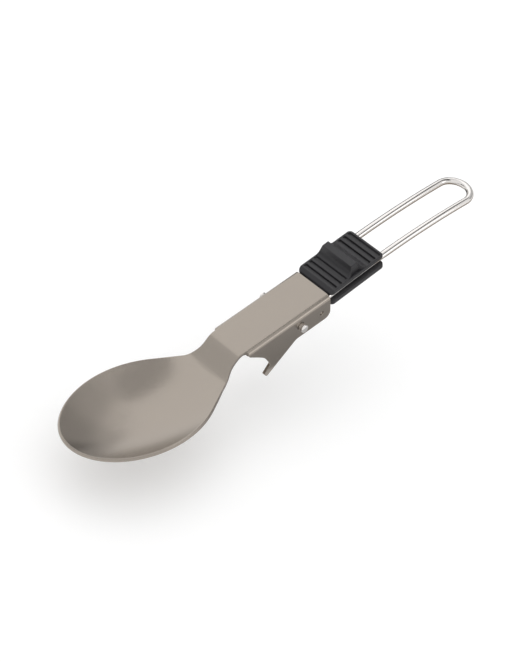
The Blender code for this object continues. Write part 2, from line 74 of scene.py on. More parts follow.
# How the channel's frame is turned about Y and moved to where the spoon rests on its bowl and hooks
rest_tilt = np.radians(-10.423547)
rest_shift = np.array([1.9444, 0.0, 18.1638])
millimetre = 0.001


def shape(name, points, faces):
    """A closed mesh object from points in millimetres in the channel's frame. Points that fall together
    are merged, and the faces are turned outwards."""
    merged_within = 0.001
    mesh = bpy.data.meshes.new(name)
    mesh.from_pydata(points.tolist(), [], faces)
    body = bmesh.new()
    body.from_mesh(mesh)
    bmesh.ops.remove_doubles(body, verts=body.verts, dist=merged_within)
    bmesh.ops.dissolve_degenerate(body, edges=body.edges, dist=merged_within)
    bmesh.ops.recalc_face_normals(body, faces=body.faces)
    body.to_mesh(mesh)
    body.free()
    obj = bpy.data.objects.new(name, mesh)
    bpy.context.scene.collection.objects.link(obj)
    return obj


def laid(points):
    """Points of the channel's frame turned about Y and moved to where the spoon lies, in metres."""
    x, y, z = np.moveaxis(points, -1, 0)
    cosine, sine = np.cos(rest_tilt), np.sin(rest_tilt)
    turned = np.stack([x * cosine + z * sine, y, z * cosine - x * sine], axis=-1)
    return (turned + rest_shift) * millimetre


def set_down(obj):
    """Lays the object's own points down, so that the object itself stays at the origin."""
    points = np.empty(len(obj.data.vertices) * 3)
    obj.data.vertices.foreach_get("co", points)
    obj.data.vertices.foreach_set("co", laid(points.reshape(-1, 3)).ravel())
    obj.data.update()


def unit(vectors):
    """The vectors, each divided by its own length."""
    return vectors / np.linalg.norm(vectors, axis=-1, keepdims=True)


def unit_circle(count):
    """Points round a circle of radius one, as the cosine and sine of an evenly growing angle."""
    turn = np.linspace(0, 2 * np.pi, count, endpoint=False)
    return np.stack([np.cos(turn), np.sin(turn)], axis=-1)


def grid_faces(rows, columns, closed=False):
    """The quads of a grid of rows times columns points, round and back to the first column if closed."""
    across = columns if closed else columns - 1
    i, j = np.meshgrid(np.arange(rows - 1), np.arange(across), indexing="ij")
    k = (j + 1) % columns
    low, high = i * columns, (i + 1) * columns
    return np.stack([low + j, low + k, high + k, high + j], axis=-1).reshape(-1, 4).tolist()


def tube_faces(rows, columns):
    """The quads of a grid that closes round, and its first and last rows as the two end faces."""
    ends = [list(range(columns)), list(range((rows - 1) * columns, rows * columns))]
    return grid_faces(rows, columns, closed=True) + ends


def rounded(corners):
    """An outline through corners (a, b, radius). At each one an arc of that radius touches both sides:
    its points are the two touching points' offsets from the centre, mixed by the sines of the angle
    that is left to each."""
    here = np.array([corner[:2] for corner in corners], dtype=float)
    share = np.linspace(0, 1, 11)[:, None]
    radii = [corner[2] for corner in corners]
    out = []
    for at, before, after, radius in zip(here, np.roll(here, 1, axis=0), np.roll(here, -1, axis=0), radii):
        if not radius:
            out.append(at[None])
            continue
        back, on = unit(before - at), unit(after - at)
        half = np.arccos(np.clip(back @ on, -1, 1)) / 2
        sweep = np.pi - 2 * half
        centre = at + unit(back + on) * radius / np.sin(half)
        start, end = (at + way * radius / np.tan(half) - centre for way in (back, on))
        arc = start * np.sin((1 - share) * sweep) + end * np.sin(share * sweep)
        out.append(centre + arc / np.sin(sweep))
    return np.concatenate(out)


def carried(name, outline, low, high, across):
    """A flat outline carried straight from low to high along the axis across, and closed at both ends."""
    ends = np.repeat([low, high], len(outline))[:, None]
    points = np.insert(np.tile(outline, (2, 1)), [across], ends, axis=1)
    return shape(name, points, tube_faces(2, len(outline)))


def lathed(name, profile, x, z, side):
    """A profile of (distance out from the flange's face, radius), turned once round a line along Y that
    passes through x and z."""
    out, radius = profile.T
    ring = unit_circle(48)
    points = np.empty((len(out), len(ring), 3))
    points[..., [0, 2]] = np.array([x, z]) + radius[:, None, None] * ring
    points[..., 1] = side * (half_channel + out)[:, None]
    return shape(name, points.reshape(-1, 3), tube_faces(len(out), len(ring)))


def combine(obj, other, operation):
    """Adds an exact Boolean step that trims, cuts or joins the object with another one."""
    step = obj.modifiers.new(operation, "BOOLEAN")
    step.operation = operation
    step.object = other
    step.solver = "EXACT"


def finished(obj):
    """Works the object's modifiers into its mesh and removes the helpers that they used."""
    bpy.context.view_layer.update()
    done = bpy.data.meshes.new_from_object(obj.evaluated_get(bpy.context.evaluated_depsgraph_get()))
    helpers = [step.object for step in obj.modifiers if step.type == "BOOLEAN"]
    obj.modifiers.clear()
    obj.data = done
    for helper in helpers:
        bpy.data.objects.remove(helper)


def ramp(distance, reach):
    """Nothing before a bend and distance after it, with a parabola over reach on each side of it."""
    bent = (distance + reach) ** 2 / (4 * reach)
    return np.where(distance < -reach, 0.0, np.where(distance > reach, distance, bent))


def half_width_squared(x):
    """The neck's straight sides run by a small bend into flared ones, and these into the arc of the
    bowl's shoulder. Past the widest place the square falls to zero at the tip, as one less a power of
    the way there."""
    angle = np.arctan(flare_slope)
    run = shoulder_radius * np.sin(angle)
    flared = bowl_half - shoulder_radius * (1 - np.cos(angle)) - neck_half
    flare = neck_half + flare_slope * ramp(widest_x + run + flared / flare_slope - x, flare_reach)
    past_widest = x - widest_x
    shoulder = bowl_half - shoulder_radius + np.sqrt(shoulder_radius**2 - np.clip(past_widest, 0, run) ** 2)
    neck_side = np.where(past_widest < run, shoulder, flare) ** 2
    to_tip = np.clip(widest_x - x, 0, None) / tip_length
    return np.where(x < widest_x, bowl_half**2 * (1 - to_tip**tip_power), neck_side)


def sheet_height(x, y):
    """The rim's line falls from the neck's bend and rises again from its foot along the bowl. From that
    line the bowl's hollow goes down as a parabola across, which opens with the square of the half width."""
    fall = neck_slope * ramp(neck_bend - x, neck_bend_reach)
    rise = (neck_slope + bowl_rise) * ramp(neck_foot - x, neck_foot_reach)
    widest = bowl_half**2
    foot = half_width_squared(np.array(neck_foot))
    here = half_width_squared(x)
    opened = np.clip((here - foot) / (widest - foot), 0, 1)
    past = x < widest_x
    neck_side = opened * (1 - y**2 / np.where(past, widest, here))
    return rise - fall - bowl_depth * np.where(past, (here - y**2) / widest, neck_side)


def sheet_normal(x, y):
    """Upward unit normals of the sheet, from its height a hair's breadth to each side."""
    hair = 0.01
    along = (sheet_height(x + hair, y) - sheet_height(x - hair, y)) / (2 * hair)
    across = (sheet_height(x, y + hair) - sheet_height(x, y - hair)) / (2 * hair)
    return unit(np.stack([-along, -across, np.ones_like(along)], axis=-1))


def lines_in_plan():
    """Where each line across the sheet starts in the middle and ends before the rim, and the way straight
    out there, square to the half width's slope. They run straight across at the neck and fan round the
    tip. The first few make a tongue that lies within the channel's flat top."""
    hair = 0.005
    tongue = np.linspace(channel_front + tongue_length, channel_front, 9)[:-1]
    straight = np.concatenate([tongue, np.linspace(channel_front, widest_x, 113)])
    turn = np.linspace(0, np.pi / 2, 64)[1:]
    rim_x = np.concatenate([straight, widest_x - tip_length * np.sin(turn)])
    middle_x = np.concatenate([straight, widest_x - fan_length * turn / turn[-1]])
    squared = np.clip(half_width_squared(rim_x), 0, None)
    squared[: len(tongue)] = (half_channel - bend_radius) ** 2
    growth = (half_width_squared(rim_x + hair) - half_width_squared(rim_x - hair)) / (2 * hair)
    outwards = unit(np.stack([-growth, 2 * np.sqrt(squared)], axis=-1))
    rim = np.stack([rim_x, np.sqrt(squared)], axis=-1) - rim_edge * outwards
    middle = np.stack([middle_x, np.zeros_like(middle_x)], axis=-1)
    return middle, rim, outwards


def bowl_and_neck():
    """Each line in plan is lifted to the sheet's height, goes round the rim as two quarter circles, and
    comes back one thickness below along the normal. The lines of one side are mirrored for the other,
    and the open end within the channel is closed."""
    middle, rim, outwards = lines_in_plan()
    share = np.linspace(0, 1, 41)[None, :, None]
    plan = middle[:, None] * (1 - share) + rim[:, None] * share
    normal = sheet_normal(plan[..., 0], plan[..., 1])
    top = np.concatenate([plan, sheet_height(plan[..., 0], plan[..., 1])[..., None]], axis=-1)
    edge, upright = top[:, -1:], normal[:, -1:]
    out = np.pad(outwards, ((0, 0), (0, 1)))[:, None]
    out = unit(out - np.sum(out * upright, axis=-1, keepdims=True) * upright)
    angle = np.linspace(0, np.pi / 2, 6)[None, :, None]
    upper = edge - rim_edge * upright + rim_edge * (upright * np.cos(angle) + out * np.sin(angle))
    lower = edge - (sheet - rim_edge) * upright + rim_edge * (out * np.cos(angle) - upright * np.sin(angle))
    below = (top - sheet * normal)[:, ::-1]
    half = np.concatenate([top, upper[:, 1:], lower, below[:, 1:]], axis=1)
    mirrored = half[-2::-1] * np.array([1, -1, 1])
    whole = np.concatenate([half, mirrored])
    rows, columns = whole.shape[:2]
    first = np.arange(columns)
    last = (rows - 1) * columns + first
    cap = np.concatenate([first, last[-2:0:-1]]).tolist()
    return shape("bowl and neck", whole.reshape(-1, 3), grid_faces(rows, columns) + [cap])


def channel_section():
    """A straight flange and a quarter circle round the bend, outside and again one thickness inside, each
    mirrored, so that the outline runs once round the sheet. The flanges are left too long."""
    foot = -18.0
    arc = np.linspace(0, np.pi / 2, 15)[:, None]
    bend = np.concatenate([np.cos(arc), np.sin(arc)], axis=1)
    centre = np.array([half_channel - bend_radius, -bend_radius])
    outside = np.concatenate([[[half_channel, foot]], centre + bend_radius * bend])
    inside = np.concatenate([[[half_channel - sheet, foot]], centre + (bend_radius - sheet) * bend])
    flip = np.array([-1, 1])
    return np.concatenate([outside, (outside * flip)[::-1], inside * flip, inside[::-1]])


def flange_outline():
    """The flanges from the side, as corners (x, z, radius): the rear corner, the lower edge, the hook's
    back, tip and notch, the long front edge, and a straight top clear of the sheet."""
    clear_front, clear_top = -25.0, 3.0
    lower_edge, front_edge = -8.55, -1.9
    return rounded(
        [
            (clear_front, clear_top, 0),
            (channel_rear, clear_top, 0),
            (channel_rear, lower_edge, 2.4),
            (-1.9, lower_edge, 3.0),
            (-14.5, -16.05, 0.6),
            (-15.5, -14.4, 0.3),
            (-12.8, -11.6, 0.35),
            (-15.1, -7.0, 8.0),
            (-21.4, front_edge, 0),
            (clear_front, front_edge, 0),
        ]
    )


def pin_hole():
    """The pin's hole as (distance out, radius): a straight bore whose mouth opens by a quarter circle, and
    widens on outside the flange."""
    outside, bore_end = [overrun, hole_radius + 1.2], [-2.5, hole_radius]
    turn = np.linspace(0.1, np.pi / 2, 7)
    distance = mouth_radius * np.cos(turn) - mouth_sink
    mouth = np.stack([distance, hole_radius + mouth_radius * (1 - np.sin(turn))], axis=-1)
    return np.concatenate([[outside], mouth, [bore_end]])


def dent():
    """The pressed dent as (distance out, radius): a ball a little past its widest, then a cone outside."""
    outside = [1.2, 1.1]
    turn = np.linspace(0.02, 1.7, 14)
    distance = dent_ball - dent_depth - dent_ball * np.cos(turn)
    return np.concatenate([np.stack([distance, dent_ball * np.sin(turn)], axis=-1), [outside]])


clear_half = 10.0
spoon_plate = carried("spoon_sheet", channel_section(), channel_front, channel_rear + overrun, 0)
combine(spoon_plate, carried("flange outline", flange_outline(), -clear_half, clear_half, 1), "INTERSECT")
for side in (-1, 1):
    relief = relief_radius * unit_circle(48) + np.array([channel_front, side * (neck_half + relief_radius)])
    combine(spoon_plate, carried("relief", relief, relief_foot, overrun, 2), "DIFFERENCE")
for side in (-1, 1):
    combine(spoon_plate, lathed("pin hole", pin_hole(), 0.0, -pin_drop, side), "DIFFERENCE")
    combine(spoon_plate, lathed("dent", dent(), dent_x, -dent_drop, side), "DIFFERENCE")
combine(spoon_plate, bowl_and_neck(), "UNION")
finished(spoon_plate)


def weigh_edges(obj, degrees):
    """Gives a bevel weight of one to the edges sharper than an angle, but none at the neck's root, where
    the small punched reliefs stay sharp."""
    root_reach, root_depth = 2.7, bend_radius + 0.2
    body = bmesh.new()
    body.from_mesh(obj.data)
    weight = body.edges.layers.float.new("bevel_weight_edge")
    for edge in body.edges:
        places = [vert.co for vert in edge.verts]
        root = any(abs(place.x - channel_front) < root_reach and place.z > -root_depth for place in places)
        edge[weight] = float(not root and edge.calc_face_angle(0.0) > np.radians(degrees))
    body.to_mesh(obj.data)
    body.free()


weigh_edges(spoon_plate, degrees=50)
edges = spoon_plate.modifiers.new("blanked edges", "BEVEL")
edges.width = blanked_edge
edges.segments = 3
edges.limit_method = "WEIGHT"
edges.use_clamp_overlap = False
finished(spoon_plate)
set_down(spoon_plate)


def smoothed(obj, degrees):
    """Smooth shading that keeps edges sharper than an angle, with flat faces kept flat beside their
    rounded edges."""
    obj.data.shade_smooth()
    obj.data.set_sharp_from_angle(angle=np.radians(degrees))
    even = obj.modifiers.new("even normals", "WEIGHTED_NORMAL")
    even.keep_sharp = True


smoothed(spoon_plate, degrees=40)


def linear(hex_colour):
    """A colour written as sRGB hex, in the linear values that a shader takes."""
    parts = [int(hex_colour[i : i + 2], 16) / 255 for i in (1, 3, 5)]
    return [c / 12.92 if c <= 0.04045 else ((c + 0.055) / 1.055) ** 2.4 for c in parts] + [1.0]


def feed(tree, node, **inputs):
    """Gives each of a node's inputs its value, or the output socket that feeds it. An underscore in an
    input's name stands for a space, and i and a number for its place."""
    for name, value in inputs.items():
        key = int(name[1:]) if name[1:].isdigit() else name.replace("_", " ")
        if isinstance(value, bpy.types.NodeSocket):
            tree.links.new(value, node.inputs[key])
        else:
            node.inputs[key].default_value = value


def add(tree, kind, settings=None, **inputs):
    """Adds a node with its settings, and feeds its inputs."""
    made = tree.nodes.new(kind)
    for name, value in (settings or {}).items():
        setattr(made, name, value)
    feed(tree, made, **inputs)
    return made


def material(name):
    """A new material, with its node tree and its shader."""
    made = bpy.data.materials.new(name)
    made.use_nodes = True
    return made, made.node_tree, made.node_tree.nodes["Principled BSDF"]


# Bead-blasted stainless steel: the beads leave tiny overlapping pits, so it has a soft, even sheen with
# a faint warm grey grain and no clear reflections. The pits are drawn about 0.3 mm wide, coarser
# than real ones, so that they just show.
colours = {"data_type": "RGBA"}
steel, tree, shader = material("bead-blasted stainless steel")
place = add(tree, "ShaderNodeTexCoord").outputs["Object"]
pits = add(tree, "ShaderNodeTexNoise", Vector=place, Scale=3.3 / millimetre, Detail=2.0, Roughness=0.6)
cloud = add(tree, "ShaderNodeTexNoise", Vector=place, Scale=0.16 / millimetre, Detail=3.0)
pitted = add(
    tree, "ShaderNodeMix", colours, i0=pits.outputs["Fac"], i6=linear("#968e85"), i7=linear("#a29a91")
)
worn = add(tree, "ShaderNodeMapRange", i0=cloud.outputs["Fac"], i1=0.3, i2=0.7, i3=0.0, i4=0.25)
tone = add(
    tree, "ShaderNodeMix", colours, i0=worn.outputs["Result"], i6=pitted.outputs[2], i7=linear("#99918a")
)
gloss = add(tree, "ShaderNodeMapRange", i0=pits.outputs["Fac"], i1=0.3, i2=0.7, i3=0.21, i4=0.27)
bump = add(tree, "ShaderNodeBump", Strength=0.05, Distance=0.01 * millimetre, Height=pits.outputs["Fac"])
feed(tree, shader, Base_Color=tone.outputs[2], Roughness=gloss.outputs["Result"])
feed(tree, shader, Normal=bump.outputs["Normal"], Metallic=1.0)

spoon_plate.data.materials.clear()
spoon_plate.data.materials.append(steel)
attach(spoon_plate, "spoon")
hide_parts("spoon_plate")

# Handle wire. One length of round stainless wire, bent to a long loop with slightly arched legs, and
# polished. Its ends are turned out through the flanges' holes and upset to domed heads, so that they
# are the hinge pins.
wire_radius = 1.15
arch_radius = 291.5
arch_start = np.radians(8.16)
leg_offset = 5.5
leg_length = 75.3
loop_radius = 5.7
elbow_radius = wire_radius + 0.1
pin_end = half_channel + 2.05
shank_start = 1.3

# The domed heads from their outer ends inwards: how deep each ring of points lies, and its radius
head_depth = np.array([0, 0.01, 0.07, 0.18, 0.34, 0.56, 0.76, 0.9, 1.0, 1.1])
head_girth = np.array([0, 0.55, 0.9, 1.14, 1.3, 1.375, 1.35, 1.25, 1.16, wire_radius])


def arch(length):
    """X and Z on the handle's arch, and its slope, at a length along it from the pins: a circle that
    starts at the arch's first slope and falls away."""
    angle = arch_start - length / arch_radius
    x = arch_radius * (np.sin(arch_start) - np.sin(angle))
    z = -pin_drop + arch_radius * (np.cos(angle) - np.cos(arch_start))
    return x, z, angle


def flat_path():
    """The wire's middle laid out flat as (length, Y): the pin, a quarter-circle elbow, a leg that spreads
    with the square of its length, and a half circle. The other side mirrors it."""
    quarter = np.linspace(0, np.pi / 2, 17)[1:]
    share = np.linspace(0, 1, 91)[1:]
    swing = np.linspace(0, np.pi / 2, 33)[1:]
    head = np.stack([np.zeros(len(head_depth)), pin_end - head_depth], axis=-1)
    shank_side = np.linspace(pin_end - shank_start, leg_offset + elbow_radius, 6)
    shank = np.stack([np.zeros(len(shank_side)), shank_side], axis=-1)
    elbow_side = leg_offset + elbow_radius * (1 - np.sin(quarter))
    elbow = np.stack([elbow_radius * (1 - np.cos(quarter)), elbow_side], axis=-1)
    reach = elbow_radius + (leg_length - elbow_radius) * share
    leg = np.stack([reach, leg_offset + (loop_radius - leg_offset) * share**2], axis=-1)
    loop = np.stack([leg_length + loop_radius * np.sin(swing), loop_radius * np.cos(swing)], axis=-1)
    half = np.concatenate([head, shank, elbow, leg, loop])
    return np.concatenate([half, half[-2::-1] * np.array([1, -1])])


def wire():
    """A round section swept along the flat path, which the arch carries up and down, with one side of the
    section always square to the arch. Over the heads its radius follows their girth."""
    path = flat_path()
    ends = len(head_depth)
    girth = np.full(len(path), wire_radius)
    girth[:ends] = head_girth
    girth[-ends:] = head_girth[::-1]
    x, z, angle = arch(path[:, 0])
    places = np.stack([x, path[:, 1], z], axis=-1)
    flat = np.gradient(path, axis=0)
    flat[:ends] = flat[-ends:] = [0, -1]
    flat = unit(flat)
    upright = np.stack([-np.sin(angle), np.zeros_like(angle), np.cos(angle)], axis=-1)
    along = np.stack([flat[:, 0] * np.cos(angle), flat[:, 1], flat[:, 0] * np.sin(angle)], axis=-1)
    aside = np.cross(along, upright)
    ring = unit_circle(40)
    section = upright[:, None] * ring[None, :, :1] + aside[:, None] * ring[None, :, 1:]
    points = places[:, None] + girth[:, None, None] * section
    faces = grid_faces(len(path), len(ring), closed=True)
    return shape("handle_loop", points.reshape(-1, 3), faces), places


def mark_drawing(obj, centres):
    """Keeps with each point where it lies across the wire, and a small share of how far along the wire's
    middle it lies, so that a pattern read from these is drawn out lengthwise."""
    lengthwise_share = 0.01
    points = np.empty(len(obj.data.vertices) * 3)
    obj.data.vertices.foreach_get("co", points)
    points = points.reshape(-1, 3)
    nearest = np.argmin(((points[:, None] - centres[None]) ** 2).sum(axis=-1), axis=1)
    steps = np.linalg.norm(np.diff(centres, axis=0), axis=1)
    travelled = np.concatenate([[0.0], np.cumsum(steps)])[nearest]
    offset = points - centres[nearest]
    across = np.linalg.norm(offset[:, :2], axis=1)
    drawn = np.stack([offset[:, 2], across, travelled * lengthwise_share], axis=-1)
    obj.data.attributes.new("drawn", "FLOAT_VECTOR", "POINT").data.foreach_set("vector", drawn.ravel())


handle_loop, wire_places = wire()
set_down(handle_loop)
smoothed(handle_loop, degrees=50)
mark_drawing(handle_loop, laid(wire_places))

# Polished stainless wire: bright, with clear reflections that the faint lengthwise marks of drawing
# and buffing soften. The marks are drawn about 0.15 mm wide so that they just show.
polished, tree, shader = material("polished stainless wire")
lengthwise = add(tree, "ShaderNodeAttribute", {"attribute_name": "drawn"}).outputs["Vector"]
marks = add(
    tree, "ShaderNodeTexNoise", Vector=lengthwise, Scale=7.0 / millimetre, Detail=3.0, Roughness=0.6
)
tone = add(
    tree, "ShaderNodeMix", colours, i0=marks.outputs["Fac"], i6=linear("#dcd8d4"), i7=linear("#efecea")
)
gloss = add(tree, "ShaderNodeMapRange", i0=marks.outputs["Fac"], i1=0.3, i2=0.7, i3=0.07, i4=0.14)
bump = add(tree, "ShaderNodeBump", Strength=0.08, Distance=0.01 * millimetre, Height=marks.outputs["Fac"])
feed(tree, shader, Base_Color=tone.outputs[2], Roughness=gloss.outputs["Result"])
feed(tree, shader, Normal=bump.outputs["Normal"], Metallic=1.0)

handle_loop.data.materials.append(polished)
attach(handle_loop, "handle")
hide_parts("wire_handle")

# Slider. One black plastic moulding that rides on both wires: a thin upper plate with a thumb ridge
# and grip grooves, a plain lower plate, and a core between them that fits between the wires.
slider_length = 23.15
slider_half = 7.6
slider_corner = 1.4
front_gap = 0.6
plate_round = 0.45
foot_round = 0.2
nose_length, nose_height, nose_radius = 1.5, 1.75, 0.15
plate_front, plate_rear = 2.92, 2.5
crest_half, crest_height, crest_radius = 6.45, 6.4, 0.3
foot_half, foot_height = 7.2, 2.95
ridge_round = 0.25
groove_starts, groove_pitch = (2.75, 17.35), 2.17
groove_places = np.concatenate([start + groove_pitch * np.arange(3) for start in groove_starts])
groove_depth = 0.6
groove_floor, groove_wall = 0.36, 0.24
groove_end, groove_fade = 6.95, 0.4
wire_room, core_room = 0.25, 0.15
under = wire_radius + wire_room
lower_front, lower_rear = 1.7, 2.0
core_half = leg_offset - wire_radius - core_room
core_inset, core_up, core_down = 0.8, 0.5, 0.8
grid_step = 0.13

# The plate's and the ridge's upper lines seen from the side, from the slider's front and up from the
# wires' middle: a slanted nose and a gentle fall to the rear, and a slope, a crest and a hollow back
nose_corner = (nose_length, plate_front, nose_radius)
plate_side = rounded([(0.0, nose_height, 0), nose_corner, (slider_length, plate_rear, 0)])
plate_side = np.concatenate([[[-1.0, nose_height]], plate_side])
ridge_side = rounded(
    [
        (4.4, 2.35, 0),
        (8.8, 3.5, 3.2),
        (9.9, crest_height, crest_radius),
        (12.4, crest_height, crest_radius),
        (13.8, 3.9, 0.8),
        (16.9, 2.0, 0),
        (17.5, 0.0, 0),
    ]
)


def slider_top(s, y):
    """The height above the wires' middle at s along the wires and y across: the higher of the plate's line
    and the ridge's line. The ridge's ends lean in evenly towards its crest and are rounded off above by
    a quarter circle, past which it falls by its whole height. Each groove has a flat floor between
    slanted walls and fades out near the plate's sides."""
    hair = 0.0001
    plate = np.interp(s, plate_side[:, 0], plate_side[:, 1])
    ridge = np.interp(s, ridge_side[:, 0], ridge_side[:, 1], left=0.0, right=0.0)
    raised = np.clip((ridge - foot_height) / (crest_height - foot_height), 0, 1)
    half = foot_half + (crest_half - foot_half) * raised
    out = np.clip((np.abs(y) - half + ridge_round) / ridge_round, 0, None)
    quarter_circle = ridge_round * (1 - np.sqrt(np.clip(1 - out**2, 0, 1)))
    end = np.where(out <= 1 + hair, quarter_circle, crest_height)
    off = np.abs(s[..., None] - groove_places)
    dip = np.clip((groove_floor + groove_wall - off) / groove_wall, 0, 1).sum(axis=-1)
    fade = np.clip((groove_end - np.abs(y)) / groove_fade, 0, 1)
    cut = groove_depth * dip * fade * fade * (3 - 2 * fade)
    return np.maximum(plate, ridge - end) - cut


def slider_outline():
    """The inner rectangle's edge points, and the direction in which each moves out to the rounded outline:
    straight out along the sides, and fanned round at the corners. The sides have a point at every kink
    of the top's line and at every groove's corners."""
    low, high, half = slider_corner, slider_length - slider_corner, slider_half - slider_corner
    even = np.linspace(low, high, int((high - low) / grid_step) + 1)
    corners = groove_places[:, None] + np.array([-1, -1, 1, 1]) * groove_floor
    corners = corners + np.array([-1, 0, 0, 1]) * groove_wall
    kinks = np.concatenate([corners.ravel(), ridge_side[:, 0], plate_side[:, 0]])
    along = np.unique(np.round(np.concatenate([even, kinks[(kinks > low) & (kinks < high)]]), 3))
    across = np.linspace(-half, half, int(2 * half / grid_step) + 1)
    fan = np.linspace(0, np.pi / 2, 9)[1:-1]
    sides = [
        (np.full_like(across, low), across, np.pi),
        (along, np.full_like(along, half), np.pi / 2),
        (np.full_like(across, high), across[::-1], 0.0),
        (along[::-1], np.full_like(along, -half), -np.pi / 2),
    ]
    base, way = [], []
    for s, y, angle in sides:
        base += [np.stack([s, y], axis=-1), np.tile([s[-1], y[-1]], (len(fan), 1))]
        turn = np.concatenate([np.full(len(s), angle), angle - fan])
        way.append(np.stack([np.cos(turn), np.sin(turn)], axis=-1))
    return np.concatenate(base), np.concatenate(way), along, across


def widened(base, way, insets):
    """Rings in plan, one for each inset from the rounded outline: the inner rectangle's points moved out
    by what the inset leaves of the corners' radius."""
    return base[None] + (slider_corner - insets)[:, None, None] * way[None]


def lifted(plan, height):
    """Points in plan with their heights as the third coordinate, in one row."""
    height = np.broadcast_to(height, plan.shape[:2])
    return np.concatenate([plan, height[..., None]], axis=-1).reshape(-1, 3)


def joined(parts):
    """Several (points, faces) as one, each part's faces counted on from the points before it."""
    points, faces, start = [], [], 0
    for part_points, part_faces in parts:
        points.append(part_points)
        faces += [[corner + start for corner in face] for face in part_faces]
        start += len(part_points)
    return np.concatenate(points), faces


# The quarter circle of the plates' edges, as how far in and how far down it lies
quarter = np.linspace(0, np.pi / 2, 6)
edge_inset = plate_round * (1 - np.sin(quarter))
edge_drop = plate_round * (1 - np.cos(quarter))


def upper_plate():
    """Its top is slider_top over the outline: a grid over the inner rectangle, and rings that widen from
    it, closest where the grooves fade. Past the top's edge the rings go down round a quarter circle,
    and round a smaller one at the foot, where the last ring is closed."""
    base, way, along, across = slider_outline()
    level = np.concatenate([[slider_corner, 1.3, 1.2], 0.75 + edge_inset[1:], [0.73, 0.6, 0.52]])
    drops = np.concatenate([np.zeros(len(level)), edge_drop])
    plan = widened(base, way, np.concatenate([level, edge_inset]))
    top = lifted(plan, slider_top(plan[..., 0], plan[..., 1]) - drops[:, None])
    foot = widened(base, way, foot_round * (1 - np.cos(quarter)))
    side = np.concatenate([top, lifted(foot, (under + foot_round * (1 - np.sin(quarter)))[:, None])])
    rows, count = len(drops) + len(quarter), len(base)
    faces = grid_faces(rows, count, closed=True) + [list(range((rows - 1) * count, rows * count))]
    inner = np.stack(np.meshgrid(along, across, indexing="ij"), axis=-1)
    inner = lifted(inner, slider_top(inner[..., 0], inner[..., 1]))
    return joined([(side, faces), (inner, grid_faces(len(along), len(across)))])


def lower_plate():
    """Rings alone, in over a quarter circle above and another below, with a plate between that is thicker
    to the rear. Of the outline's points every sixth is enough, and all where it turns."""
    base, way, _, _ = slider_outline()
    turns = np.flatnonzero(np.abs(np.diff(way, axis=0)).sum(axis=1) > 1e-6)
    pick = np.union1d(np.arange(0, len(base), 6), turns)
    plan = widened(base[pick], way[pick], np.concatenate([edge_inset, edge_inset[::-1]]))
    thickness = lower_front + (lower_rear - lower_front) * plan[..., 0] / slider_length
    underside = (np.arange(len(plan)) >= len(quarter))[:, None]
    rounding = np.concatenate([-edge_drop, edge_drop[::-1]])[:, None]
    height = -under - np.where(underside, thickness, 0.0) + rounding
    return lifted(plan, height), tube_faces(len(plan), len(pick))


def core():
    """A block that reaches a little into both plates."""
    s = np.array([core_inset, slider_length - core_inset])
    y = np.array([-core_half, core_half])
    n = np.array([-under - core_down, under + core_up])
    corners = np.stack(np.meshgrid(s, y, n, indexing="ij"), axis=-1).reshape(-1, 3)
    return corners, [[0, 1, 3, 2], [4, 5, 7, 6], [0, 1, 5, 4], [2, 3, 7, 6], [0, 2, 6, 4], [1, 3, 7, 5]]


def in_place(points):
    """Points in the slider's own frame (along the wires from its front, across, up from the wires' middle)
    moved to the arch, square to it at the slider's middle."""
    middle = np.arcsin((channel_rear + front_gap) / arch_radius) * arch_radius + slider_length / 2
    x, z, angle = arch(middle)
    s, y, n = np.moveaxis(points, -1, 0)
    s = s - slider_length / 2
    along = x + s * np.cos(angle) - n * np.sin(angle)
    up = z + s * np.sin(angle) + n * np.cos(angle)
    return np.stack([along, y, up], axis=-1)


points, faces = joined([upper_plate(), lower_plate(), core()])
slider_moulding = shape("slider_moulding", in_place(points), faces)
set_down(slider_moulding)
smoothed(slider_moulding, degrees=35)

# Moulded black acetal: the mould was spark-eroded, which leaves a fine dull grain, so the plastic is a
# dark neutral grey with a broad soft sheen. The grain is drawn about 0.25 mm wide so that it shows.
plastic, tree, shader = material("moulded black acetal")
place = add(tree, "ShaderNodeTexCoord").outputs["Object"]
grain = add(tree, "ShaderNodeTexNoise", Vector=place, Scale=4.0 / millimetre, Detail=2.0, Roughness=0.55)
cloud = add(tree, "ShaderNodeTexNoise", Vector=place, Scale=0.22 / millimetre, Detail=2.0)
tone = add(
    tree, "ShaderNodeMix", colours, i0=cloud.outputs["Fac"], i6=linear("#201f22"), i7=linear("#252427")
)
gloss = add(tree, "ShaderNodeMapRange", i0=grain.outputs["Fac"], i1=0.3, i2=0.7, i3=0.36, i4=0.44)
bump = add(tree, "ShaderNodeBump", Strength=0.25, Distance=0.02 * millimetre, Height=grain.outputs["Fac"])
feed(tree, shader, Base_Color=tone.outputs[2], Roughness=gloss.outputs["Result"])
feed(tree, shader, Normal=bump.outputs["Normal"], IOR=1.5)

slider_moulding.data.materials.append(plastic)
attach(slider_moulding, "lock")
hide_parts("slider")

# Floor. A wide sheet of matt white paper, spread low enough under the spoon that the handle clears it
# when it is folded down. Seen straight or mirrored it is lifted to white, and it keeps the shadow.
# Its sizes and the light's are in metres.
floor_level = -0.0125
floor_half = 3.0
floor_lift = 0.17
paper, tree, shader = material("matt white paper")
place = add(tree, "ShaderNodeTexCoord").outputs["Object"]
fibres = add(tree, "ShaderNodeTexNoise", Vector=place, Scale=0.9 / millimetre, Detail=3.0)
tone = add(
    tree, "ShaderNodeMix", colours, i0=fibres.outputs["Fac"], i6=linear("#eeeeee"), i7=linear("#f2f2f2")
)
ray = add(tree, "ShaderNodeLightPath").outputs
sum_of = {"operation": "ADD"}
seen = add(tree, "ShaderNodeMath", sum_of, i0=ray["Is Camera Ray"], i1=ray["Is Glossy Ray"])
seen = add(tree, "ShaderNodeMath", sum_of, i0=seen.outputs[0], i1=ray["Is Transmission Ray"])
